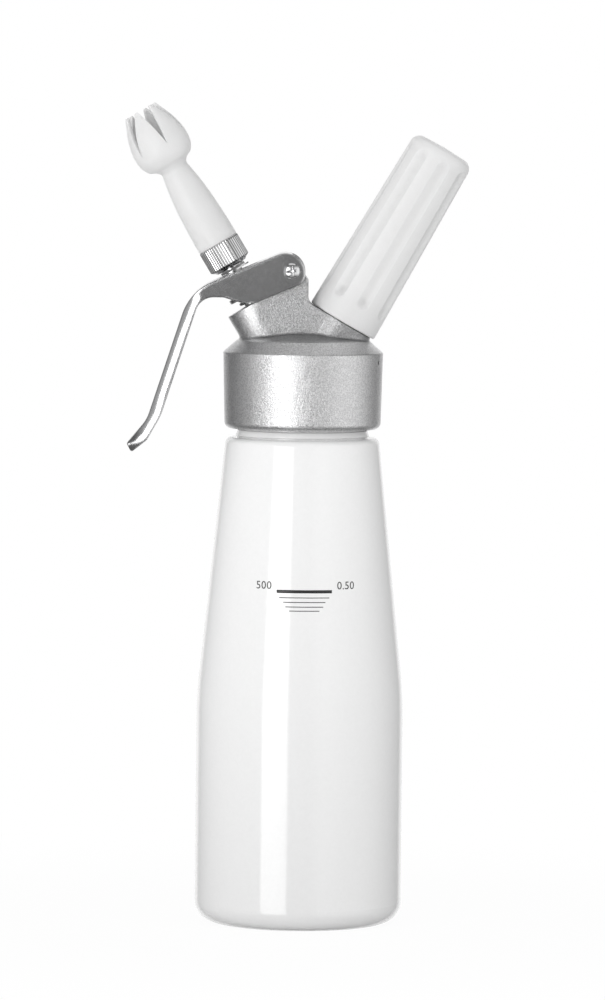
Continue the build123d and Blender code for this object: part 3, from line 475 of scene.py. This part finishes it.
def makeNozzle(look):
    # outside radius over height, as one smooth line; the inside follows it one wall further in
    base, neck, length = look["base"], look["neck"], look["tip"] - look["neck"]
    outside = curveThrough(
        [(look["tubeRadius"] - inward, base + share * (neck - base)) for inward, share in look["tubeKnots"]]
        + [(look["neckRadius"] + outward, neck + rise) for outward, rise in look["neckKnots"]]
        + [(look["bulbRadius"] - inward, neck + share * length) for inward, share in look["bulbKnots"]]
        + [(look["tipRadius"], look["tip"])],
        look["perSpan"],
    )
    slope = np.gradient(outside, axis=0)
    slope = slope / np.linalg.norm(slope, axis=1)[:, None]
    inside = outside + look["wall"] * np.stack([-slope[:, 1], slope[:, 0]], axis=1)
    inside = inside[inside[:, 1] > base + look["cavityRise"]]
    inside[:, 0] = np.maximum(inside[:, 0], look["bore"])

    # above the notches' points, outside and inside have their rows at the same heights
    low = look["tip"] - look["notchLength"]
    high = np.concatenate([[low], outside[outside[:, 1] > low + look["rowGap"], 1]])
    upper = inside[inside[:, 1] > low - look["overlap"]]
    outsideHigh = np.stack([np.interp(high, outside[:, 1], outside[:, 0]), high], axis=1)
    insideHigh = np.stack([np.interp(high, upper[:, 1], upper[:, 0]), high], axis=1)
    foot = np.array([
        (look["bore"], look["plug"]), (look["plugRadius"], look["plug"]),
        (look["plugRadius"], base), (look["tubeRadius"] - look["baseChamfer"], base),
    ])
    outsideLow = outside[outside[:, 1] < low - look["rowGap"]]
    insideLow = inside[inside[:, 1] < low - look["rowGap"]][::-1]
    profile = np.concatenate([foot, outsideLow, outsideHigh, insideHigh[::-1], insideLow])
    first, count = len(foot) + len(outsideLow), len(high)

    # columns of one petal run from c = -1 to 1, closer together at its sides; above the notch's point they
    # draw in and leave it open, and the sides droop by tipRounding * (c * rise)^roundingPower, where rise
    # goes from 0 at the notch's point to 1 at the tip
    c = np.linspace(-1, 1, look["columns"] + 1)
    c = np.sign(c) * (1 - (1 - np.abs(c)) ** look["crowding"])
    rise = np.zeros(len(profile))
    rise[first:first + 2 * count] = np.concatenate([high, high[::-1]]) - low
    rise = rise / look["notchLength"]
    gap = look["notchWidth"] / 2 * rise / np.maximum(profile[:, 0], look["gapRadius"])
    middle = np.radians(look["firstNotch"] + 360 / look["petals"] * (np.arange(look["petals"]) + 0.5))
    angle = middle[:, None, None] + c[None, None, :] * (np.pi / look["petals"] - gap)[None, :, None]
    droop = look["tipRounding"] * np.abs(c) ** look["roundingPower"]
    atTip = rise ** look["roundingPower"]
    height = profile[None, :, 1:2] - droop[None, None, :] * atTip[None, :, None] + 0 * angle
    radius = profile[None, :, 0:1]
    points = np.stack([radius * np.cos(angle), radius * np.sin(angle), height], axis=-1)
    rows, columns = len(profile), len(c)
    faces = []
    outer = first + np.arange(count)
    inner = first + 2 * count - 1 - np.arange(count)
    for petal in range(look["petals"]):
        start = petal * rows * columns
        faces.append(gridFaces(rows, columns, closeRows=True, start=start))
        for column, order in ((0, 1), (columns - 1, -1)):
            side = np.stack([outer[:-1], outer[1:], inner[1:], inner[:-1]], axis=-1)
            faces.append(side[:, ::order] * columns + column + start)
    piece = makePiece(
        "tulip_nozzle_moulding", putAt(valvePlace, points), np.concatenate(faces), materials["whitePlastic"],
        "nozzle", ["tulip_nozzle"], look["sharpAngle"],
    )
    rim = piece.modifiers.new("softEdges", "BEVEL")
    rim.width = look["edgeRounding"]
    rim.segments = look["edgeSteps"]
    rim.limit_method = "ANGLE"
    rim.angle_limit = np.radians(look["sharpAngle"])
    return piece


makeNozzle(nozzleLook)
print("nozzle made")


# knurled ring under the nozzle

ringLook = {
    "low": 16.6 * mm, "high": 26.9 * mm, "radius": 8.15 * mm, "bore": 5.6 * mm,
    "chamferDepth": 2.2 * mm, "chamferHeight": 1.65 * mm, "footCorner": 0.15 * mm,
    "chamferCorner": 0.25 * mm, "rimDepth": 0.35 * mm, "rimHeight": 0.5 * mm,
    "ribs": 46, "ribDepth": 0.20 * mm, "ribReach": 1.0 * mm, "ribFade": 0.8 * mm, "grooveWidth": 3.0,
    "stepsPerRib": 12, "rowStep": 0.5 * mm, "sharpAngle": 60,
}


def makeRing(look):
    # a turned outline; on its outside the radius drops by ribDepth * cos(ribs * angle / 2)^2; a groove value
    # is kept on its points, that cosine squared to the power of grooveWidth, and a higher power is narrower;
    # it places painted shade at the bottoms of the grooves
    line = resample(roundedLine([
        (look["bore"], look["low"], 0),
        (look["radius"] - look["chamferDepth"], look["low"], look["footCorner"]),
        (look["radius"], look["low"] + look["chamferHeight"], look["chamferCorner"]),
        (look["radius"], look["high"] - look["rimHeight"], 0),
        (look["radius"] - look["rimDepth"], look["high"], 0),
        (look["bore"], look["high"], 0),
    ]), look["rowStep"])
    angle = np.linspace(0, 2 * np.pi, look["ribs"] * look["stepsPerRib"], endpoint=False)
    valley = np.cos(angle * look["ribs"] / 2) ** 2
    isWall = np.clip((line[:, 0] - look["radius"] + look["ribReach"]) / look["ribFade"], 0, 1)
    radius = line[:, 0:1] - look["ribDepth"] * isWall[:, None] * valley[None, :]
    piece = makePiece(
        "knurled_ring", putAt(valvePlace, turned(line, radius, angle)),
        gridFaces(len(line), len(angle), closeRows=True, closeColumns=True), materials["knurledChrome"],
        "nozzle", ["nozzle_ring"], look["sharpAngle"],
    )
    grooveShadeShare = piece.data.attributes.new("grooveShadeShare", "FLOAT", "POINT")
    grooveShadeShare.data.foreach_set("value", (isWall[:, None] * valley[None, :] ** look["grooveWidth"]).ravel())
    return piece


makeRing(ringLook)
print("ring made")


# charger holder: a tapering cup with eight flutes that end in round scoops

holderLook = {
    "baseRadius": 13.75 * mm, "topRadius": 12.4 * mm, "length": 75.6 * mm, "corner": 3.8 * mm,
    "dome": 0.5 * mm, "footDepth": 0.4 * mm, "footHeight": 0.5 * mm, "insertRadius": 12.2 * mm,
    "insertTop": 11.4 * mm, "bore": 9.6 * mm, "ceiling": 72.0 * mm, "ceilingCorner": 3.0 * mm,
    "flutes": 8, "fluteWidth": 5.2 * mm, "fluteDepth": 0.85 * mm, "flutePower": 1.3, "firstFlute": -76.0,
    "fluteStart": 7.2 * mm, "fluteEnd": 71.0 * mm, "plainRadius": 6 * mm, "plainFade": 3 * mm,
    "ventAngle": 195.0, "ventHeight": 7.7 * mm, "ventRadius": 0.8 * mm, "ventDepth": 1.1 * mm,
    "ventSlope": 1.6, "columns": 336, "rowStep": 0.5 * mm, "insideStep": 5 * mm, "cornerSteps": 10,
    "sharpAngle": 65,
}


def makeHolder(look):
    # a turned outline, pressed in by fluteDepth * (1 - (d / half)^2)^flutePower within half a flute's width,
    # where d is the distance on the surface to the flute's middle line, and the top within plainRadius stays
    # plain; the vent is a round dimple, ventDepth deep and flat in the middle, its side sloping up to nothing
    # at ventRadius
    outside = resample(roundedLine([
        (look["baseRadius"] - look["footDepth"], 0, 0),
        (look["baseRadius"], look["footHeight"], 0),
        (look["topRadius"], look["length"] - look["dome"], look["corner"]),
        (0, look["length"], 0),
    ], look["cornerSteps"]), look["rowStep"])
    inside = resample(roundedLine([
        (0, look["ceiling"], 0),
        (look["bore"], look["ceiling"], look["ceilingCorner"]),
        (look["bore"], look["insertTop"], 0),
        (look["insertRadius"], look["insertTop"], 0),
        (look["insertRadius"], 0, 0),
    ]), look["insideStep"])
    line = np.concatenate([inside, outside])
    angle = np.linspace(-np.pi, np.pi, look["columns"], endpoint=False)
    level = line[:, 1:2]
    isOutside = (np.arange(len(line)) >= len(inside))[:, None]
    isOutside = isOutside * np.clip((line[:, 0:1] - look["plainRadius"]) / look["plainFade"], 0, 1)
    half = look["fluteWidth"] / 2
    step = 2 * np.pi / look["flutes"]
    around = (angle - np.radians(look["firstFlute"]) + step / 2) % step - step / 2
    past = np.maximum(look["fluteStart"] + half - level, 0) + np.maximum(level - look["fluteEnd"] + half, 0)
    away = np.sqrt((around[None, :] * line[:, 0:1]) ** 2 + past ** 2)
    flute = look["fluteDepth"] * np.clip(1 - (away / half) ** 2, 0, 1) ** look["flutePower"]
    ventTurn = (angle - np.radians(look["ventAngle"]) + np.pi) % (2 * np.pi) - np.pi
    ventAway = np.sqrt((ventTurn[None, :] * line[:, 0:1]) ** 2 + (level - look["ventHeight"]) ** 2)
    vent = look["ventDepth"] * np.clip(look["ventSlope"] * (1 - ventAway / look["ventRadius"]), 0, 1)
    radius = line[:, 0:1] - isOutside * (flute + vent)
    return makePiece(
        "holder_moulding", putAt(chargerPlace, turned(line, radius, angle)),
        gridFaces(len(line), len(angle), closeColumns=True), materials["whitePlastic"],
        "holder", ["charger_holder"], look["sharpAngle"],
    )


makeHolder(holderLook)
print("holder made")


# lever: the cast lever again, with a crowned front and back on its handle

leverLook = {
    # the handle's inner edge as two lines, each with a point (x, z) and a slope
    "handleLine": (-40.63 * mm, 230.0 * mm), "handleSlope": 71.9,
    "flareLine": (-58.58 * mm, 182.10 * mm), "flareSlope": 59.8,
    "slices": (0.0, 0.8 * mm, 1.6 * mm, 2.2 * mm, 2.8 * mm, 3.3 * mm, 3.8 * mm, 4.2 * mm),
    "crown": 44000.0,  # per square metre
    # heights where the handle is cut, with the tilt and the share of the crown at each
    "levels": (
        180.5 * mm, 184.5 * mm, 190 * mm, 199 * mm, 221 * mm,
        230 * mm, 234.5 * mm, 236 * mm, 237.5 * mm, 239 * mm,
    ),
    "tilts": (0.0, 0.15, 0.15, 0.03, 0.03, 0.12, 0.15, 0.12, 0.04, 0.0),
    "crowns": (0.0, 1.0, 1.0, 1.0, 1.0, 1.0, 1.0, 0.8, 0.3, 0.0),
    "stillWidth": 2 * mm, "stillFade": 6 * mm, "sharpAngle": 35,
}


def makeLever(look):
    # a copy of the lever, cut along lines parallel to the handle's inner edge; at the distance d from that
    # edge its front and back draw in by tilt * d + crown * d^3 / 3, which ends at the flat tip and below the
    # knuckle; points within stillWidth of the lever's middle stay where they are
    mesh = nodes["lever"].data.copy()
    mesh.name = "lever_polished"
    work = bmesh.new()
    work.from_mesh(mesh)
    bmesh.ops.remove_doubles(work, verts=work.verts, dist=mergeDistance)
    edges = []
    for key in ("handle", "flare"):
        slope = np.radians(look[key + "Slope"])
        edges.append((look[key + "Line"], (-np.sin(slope), np.cos(slope))))
    planes = [
        ((start[0] + d * left[0], 0, start[1] + d * left[1]), (left[0], 0, left[1]))
        for start, left in edges for d in look["slices"]
    ]
    planes += [((0, 0, level), (0, 0, 1)) for level in look["levels"]]
    for point, normal in planes:
        everything = work.verts[:] + work.edges[:] + work.faces[:]
        bmesh.ops.bisect_plane(work, geom=everything, dist=cutDistance, plane_co=point, plane_no=normal)
    bmesh.ops.triangulate(work, faces=work.faces)
    work.to_mesh(mesh)
    work.free()
    points = readPoints(mesh)
    x, y, z = points.T
    away = [(x - start[0]) * left[0] + (z - start[1]) * left[1] for start, left in edges]
    d = np.maximum(np.minimum(*away), 0)
    tilt = np.interp(z, look["levels"], look["tilts"])
    crown = look["crown"] * np.interp(z, look["levels"], look["crowns"])
    share = np.clip((np.abs(y) - look["stillWidth"]) / look["stillFade"], 0, 1)
    points[:, 1] -= np.sign(y) * share * (tilt * d + crown * d ** 3 / 3)
    mesh.vertices.foreach_set("co", points.ravel())
    mesh.update()
    smoothMesh(mesh, look["sharpAngle"])
    piece = addObject("lever_polished", mesh, materials["polishedLever"])
    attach(piece, "lever")
    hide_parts("lever")
    return piece


makeLever(leverLook)
print("lever made")


# the two cross-headed screws of the pivot

screwLook = {
    "face": 12.8 * mm, "radius": 3.0 * mm, "corner": 0.2 * mm, "side": 0.5 * mm, "rise": 1.5 * mm,
    "domePower": 0.8, "shank": 1.25 * mm, "length": 5.0 * mm,
    "barWidth": 0.85 * mm, "barLength": 3.7 * mm, "depth": 0.95 * mm, "barSlope": 0.5, "soft": 0.16 * mm,
    "turns": (8.0, 40.0), "rows": 31, "columns": 96, "sharpAngle": 50,
}


def makeScrew(look, side, turn):
    # a turned head and shank; the dome stands side + (rise - side) * (1 - (r / radius)^2)^domePower high, and
    # inside a cross of two bars it is sunk by depth * (1 - barSlope * r / half a bar's length)
    pivot = jointPlace("lever_squeeze")["origin"]
    up = np.array([0.0, 0.0, 1.0])
    along = np.array([0.0, float(side), 0.0])
    origin = np.array([pivot[0], side * look["face"], pivot[2]])
    place = {"origin": origin, "across": np.cross(up, along), "back": up, "along": along}
    r = np.linspace(look["radius"], 0, look["rows"])
    bulge = (1 - (r / look["radius"]) ** 2) ** look["domePower"]
    dome = look["side"] + (look["rise"] - look["side"]) * bulge
    body = np.array([
        (0, -look["length"]), (look["shank"], -look["length"]), (look["shank"], 0),
        (look["radius"] - look["corner"], 0), (look["radius"], look["corner"]),
    ])
    line = np.concatenate([body, np.stack([r, dome], axis=1)])
    angle = np.linspace(0, 2 * np.pi, look["columns"], endpoint=False)
    x = line[:, 0:1] * np.cos(angle - np.radians(turn))
    y = line[:, 0:1] * np.sin(angle - np.radians(turn))
    half, width, soft = look["barLength"] / 2, look["barWidth"] / 2, look["soft"]
    inside = [
        np.clip((half - np.abs(a)) / soft + 0.5, 0, 1) * np.clip((width - np.abs(b)) / soft + 0.5, 0, 1)
        for a, b in ((x, y), (y, x))
    ]
    sink = look["depth"] * np.maximum(*inside) * (1 - look["barSlope"] * line[:, 0:1] / half)
    sink = sink * (np.arange(len(line)) >= len(body))[:, None]
    points = turned(line, line[:, 0:1] + 0 * sink, angle)
    points[..., 2] -= sink
    return makePiece(
        "screw_front" if side < 0 else "screw_back", putAt(place, points),
        gridFaces(len(line), len(angle), closeColumns=True), materials["chrome"],
        "head", ["pivot_screws"], look["sharpAngle"],
    )


makeScrew(screwLook, -1, screwLook["turns"][0])
makeScrew(screwLook, 1, screwLook["turns"][1])
print("screws made")


# fill mark printed on the front of the bottle: a bar, four thinner lines and plain numbers

markLook = {
    "height": 127.5 * mm, "centre": 1.4 * mm, "barWidth": 20.9 * mm, "barThickness": 1.15 * mm,
    "lineDrops": (2.3 * mm, 4.0 * mm, 5.7 * mm, 7.2 * mm), "lineThickness": 0.28 * mm,
    "lineWidths": (18.9 * mm, 15.9 * mm, 14.2 * mm, 11.3 * mm),
    "leftNumber": "500", "rightNumber": "0.50", "digitHeight": 3.0 * mm, "fontShare": 1.37,
    "digitSpacing": 1.05, "gap": 2.0 * mm, "numberRise": 0.8 * mm,
    "lift": 0.015 * mm, "inkThickness": 0.02 * mm, "columns": 49, "curveSteps": 4,
}
leastRadius = 30 * mm  # heights where the bottle is narrower than this are left out of its outline


def bottleRadius(level):
    # radius of the bottle's outside at a height, read from the corners of its mesh's outward faces, with the
    # heights taken to a hundredth of a millimetre
    mesh = nodes["bottle"].data
    corners = np.empty(len(mesh.loops), int)
    mesh.loops.foreach_get("vertex_index", corners)
    corners = readPoints(mesh)[corners].reshape(-1, 3, 3)
    normal = np.cross(corners[:, 1] - corners[:, 0], corners[:, 2] - corners[:, 0])
    outward = (normal[:, :2] * corners[:, 0, :2]).sum(axis=1) > 0
    outer = corners[outward].reshape(-1, 3)
    levels, which = np.unique(np.round(outer[:, 2], 5), return_inverse=True)
    widest = np.zeros(len(levels))
    np.maximum.at(widest, which, np.hypot(outer[:, 0], outer[:, 1]))
    known = widest > leastRadius
    return np.interp(level, levels[known], widest[known])


def wrapOnBottle(x, level, lift):
    # a flat print laid round the front of the bottle; x runs to the right
    radius = bottleRadius(level) + lift
    angle = -np.pi / 2 + x / radius
    return np.stack([radius * np.cos(angle), radius * np.sin(angle), level], axis=-1)


def makeMark(look):
    # each bar is a grid across its width, closed over its four long sides and its two ends
    points, faces, start, count = [], [], 0, look["columns"]
    low, high = look["lift"], look["lift"] + look["inkThickness"]
    bars = [(0, look["barWidth"], look["barThickness"])]
    for drop, width in zip(look["lineDrops"], look["lineWidths"]):
        bars.append((drop, width, look["lineThickness"]))
    for drop, width, thickness in bars:
        x = look["centre"] + np.linspace(-width / 2, width / 2, count)[:, None]
        middle = look["height"] - drop
        level = middle + thickness / 2 * np.array([[-1, 1, 1, -1]]) + 0 * x
        bar = wrapOnBottle(x + 0 * level, level, np.array([[high, high, low, low]]))
        points.append(bar.reshape(-1, 3))
        end = start + count * 4
        faces += gridFaces(count, 4, closeColumns=True, start=start)[:, ::-1].tolist()
        faces += [[start + 3, start + 2, start + 1, start], [end - 4, end - 3, end - 2, end - 1]]
        start = end
    return makePiece(
        "fill_mark", np.concatenate(points), np.array(faces), materials["printInk"], "bottle"
    )


def makeNumber(look, text, x, align):
    # plain digits as a thin solid, laid on the bottle beside the bar
    curve = bpy.data.curves.new("number", "FONT")
    curve.body = text
    curve.size = look["digitHeight"] * look["fontShare"]
    curve.space_character = look["digitSpacing"]
    curve.extrude = look["inkThickness"] / 2
    curve.align_x = align
    curve.resolution_u = look["curveSteps"]
    source = bpy.data.objects.new("number", curve)
    bpy.context.scene.collection.objects.link(source)
    flat = bpy.data.meshes.new_from_object(source)
    bpy.data.objects.remove(source)
    across, up, out = readPoints(flat).T
    lift = out + look["inkThickness"] / 2 + look["lift"]
    points = wrapOnBottle(across + x, up + look["height"] + look["numberRise"], lift)
    faces = [list(polygon.vertices) for polygon in flat.polygons]
    name = "number_left" if align == "RIGHT" else "number_right"
    piece = addObject(name, makeMesh(name, points, faces, faceOutward=True), materials["printInk"])
    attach(piece, "bottle")
    return piece


makeMark(markLook)
sideStep = markLook["barWidth"] / 2 + markLook["gap"]
makeNumber(markLook, markLook["leftNumber"], markLook["centre"] - sideStep, "RIGHT")
makeNumber(markLook, markLook["rightNumber"], markLook["centre"] + sideStep, "LEFT")
print("fill mark made")


# floor and room

floorLook = {
    "radius": 0.32, "drop": 0.02 * mm, "rings": 4, "columns": 64,
    "shade": (0.88, 0.88, 0.88), "roughness": 0.9, "specular": 0.1,
    "whiteNear": 0.96, "whiteFar": 1.0, "nearEnd": 0.08, "farStart": 0.30,
}
plainWhite = {"Color": (1, 1, 1, 1), "Strength": 1.0}


def makeFloor(look):
    # a disc: rings of points out from the middle; it takes faint shadows, because the camera sees it mixed
    # with white, from a share of whiteNear within nearEnd to whiteFar past farStart; it isn't mirrored
    material = bpy.data.materials.new("paleFloor")
    material.use_nodes = True
    tree = material.node_tree
    shader = tree.nodes["Principled BSDF"]
    shader.inputs["Base Color"].default_value = (*look["shade"], 1)
    shader.inputs["Roughness"].default_value = look["roughness"]
    shader.inputs["Specular IOR Level"].default_value = look["specular"]
    white = addNode(tree, "ShaderNodeEmission", plainWhite)
    rays = addNode(tree, "ShaderNodeLightPath").outputs
    seen = addMath(tree, "ADD", rays["Is Camera Ray"], rays["Is Transmission Ray"], clamp=True)
    place = addNode(tree, "ShaderNodeTexCoord").outputs["Object"]
    reach = addNode(tree, "ShaderNodeVectorMath", {0: place}, operation="LENGTH").outputs["Value"]
    whiteness = addRamp(tree, reach, look["nearEnd"], look["farStart"], look["whiteNear"], look["whiteFar"])
    mix = addNode(tree, "ShaderNodeMixShader", {
        "Fac": addMath(tree, "MULTIPLY", whiteness, seen), 1: shader.outputs[0], 2: white.outputs[0],
    })
    tree.links.new(mix.outputs[0], tree.nodes["Material Output"].inputs["Surface"])
    angle = np.linspace(0, 2 * np.pi, look["columns"], endpoint=False)
    radius = np.linspace(0, look["radius"], look["rings"])[:, None] + 0 * angle
    points = turned(np.zeros((look["rings"], 2)), radius, angle)[:, ::-1]
    faces = gridFaces(look["rings"], look["columns"], closeColumns=True).tolist()
    floor = addObject("floor", makeMesh("floor", points, faces), material)
    floor.location.z = -look["drop"]
    floor.visible_glossy = False
    return floor


makeFloor(floorLook)

roomLook = {
    "ambient": 0.54, "front": 0.19, "frontEnd": -0.80, "sides": 0.14, "sidesStart": -0.45,
    "glowLeft": 0.30, "glowRight": 0.88, "glowFrom": 0.16, "glowFull": 0.46,
    "glowFades": -0.25, "glowEnds": 0.80, "wallFades": 0.30, "wallTop": 0.75,
    "behind": 0.9, "behindStart": 0.84, "behindEnd": 0.96, "behindRise": 0.22,
}


def makeRoom(look):
    # white where the camera looks; one even grey as light on matt surfaces; in reflections a dim room in
    # front of the object, pale walls on both sides that fade towards the back, and a white backdrop behind it
    world = bpy.data.worlds.new("studio")
    bpy.context.scene.world = world
    world.use_nodes = True
    tree = world.node_tree
    tree.nodes.clear()
    rays = addNode(tree, "ShaderNodeLightPath").outputs
    seen = addMath(tree, "ADD", rays["Is Camera Ray"], rays["Is Transmission Ray"], clamp=True)
    place = addNode(tree, "ShaderNodeTexCoord").outputs["Generated"]
    x, y, z = addNode(tree, "ShaderNodeSeparateXYZ", {0: place}).outputs
    height = addMath(tree, "ABSOLUTE", z)

    # x, y and z are those of a direction: x runs to the right and y to the back
    front = addRamp(tree, y, look["frontEnd"], look["sidesStart"], look["front"], look["sides"])
    upAndBack = addMath(tree, "MULTIPLY_ADD", height, look["behindRise"], y)
    behind = addRamp(tree, upAndBack, look["behindStart"], look["behindEnd"], 0.0, look["behind"])
    wall = addRamp(tree, addMath(tree, "ABSOLUTE", x), look["glowFrom"], look["glowFull"])
    under = addRamp(tree, height, look["wallFades"], look["wallTop"], 1.0, 0.0)
    fade = addRamp(tree, y, look["glowFades"], look["glowEnds"], 1.0, 0.0)
    glow = addRamp(tree, x, -1.0, 1.0, look["glowLeft"], look["glowRight"], kind="LINEAR")
    for factor in (under, fade, glow):
        wall = addMath(tree, "MULTIPLY", wall, factor)
    strength = addMath(tree, "ADD", addMath(tree, "ADD", front, behind), wall)

    ambient = addNode(tree, "ShaderNodeBackground", {**plainWhite, "Strength": look["ambient"]})
    mirrored = addNode(tree, "ShaderNodeBackground", {**plainWhite, "Strength": strength})
    white = addNode(tree, "ShaderNodeBackground", plainWhite)
    light = addNode(tree, "ShaderNodeMixShader", {
        "Fac": rays["Is Glossy Ray"], 1: ambient.outputs[0], 2: mirrored.outputs[0],
    })
    room = addNode(tree, "ShaderNodeMixShader", {"Fac": seen, 1: light.outputs[0], 2: white.outputs[0]})
    addNode(tree, "ShaderNodeOutputWorld", {"Surface": room.outputs[0]})


makeRoom(roomLook)

lampLooks = {
    "keySoftbox": {"azimuth": -27.0, "elevation": 0.0, "distance": 1.2, "size": (0.62, 1.3), "watts": 7.3},
    "leftPanel": {
        "azimuth": -80.0, "elevation": 0.0, "distance": 1.3, "size": (1.2, 1.6), "watts": 3.3,
        "mirrored": False,
    },
    "rightPanel": {
        "azimuth": 62.0, "elevation": 0.0, "distance": 1.3, "size": (1.2, 1.6), "watts": 5.1,
        "mirrored": False,
    },
    "topSoftbox": {"azimuth": 10.0, "elevation": 80.0, "distance": 1.2, "size": (1.1, 1.1), "watts": 2.2},
}
aimPoint = Vector((0, 0, 0.16))


def makeLamp(name, look):
    # azimuth 0 is the camera's side, to the right is plus; the lamp faces the object, and where mirrored is
    # False it doesn't show in reflections
    turn, lift = np.radians(look["azimuth"]), np.radians(look["elevation"])
    away = Vector((np.sin(turn) * np.cos(lift), -np.cos(turn) * np.cos(lift), np.sin(lift)))
    light = bpy.data.lights.new(name, "AREA")
    light.shape = "RECTANGLE"
    light.size, light.size_y = look["size"]
    light.energy = look["watts"]
    lamp = bpy.data.objects.new(name, light)
    lamp.location = aimPoint + away * look["distance"]
    lamp.rotation_euler = (-away).to_track_quat("-Z", "Y").to_euler()
    lamp.visible_camera = False
    lamp.visible_glossy = look.get("mirrored", True)
    bpy.context.scene.collection.objects.link(lamp)


for lampName, lampLook in lampLooks.items():
    makeLamp(lampName, lampLook)
print("room and lamps made")


# camera

cameraLook = {
    "place": (0.0003, -2.5, 0.314), "aim": (0.0003, 0.0, 0.1596), "roll": 0.0103,
    "lens": 239.0, "sensor": 36.0,
}
cameraData = bpy.data.cameras.new("camera")
cameraData.sensor_width = cameraLook["sensor"]
cameraData.lens = cameraLook["lens"]
camera = bpy.data.objects.new("camera", cameraData)
bpy.context.scene.collection.objects.link(camera)
sight = Vector(cameraLook["aim"]) - Vector(cameraLook["place"])
turnToAim = sight.to_track_quat("-Z", "Y").to_matrix().to_4x4()
roll = Matrix.Rotation(cameraLook["roll"], 4, "Z")
camera.matrix_world = Matrix.Translation(cameraLook["place"]) @ turnToAim @ roll
bpy.context.scene.camera = camera
bpy.context.scene.view_settings.view_transform = "Standard"

print("scene ready")
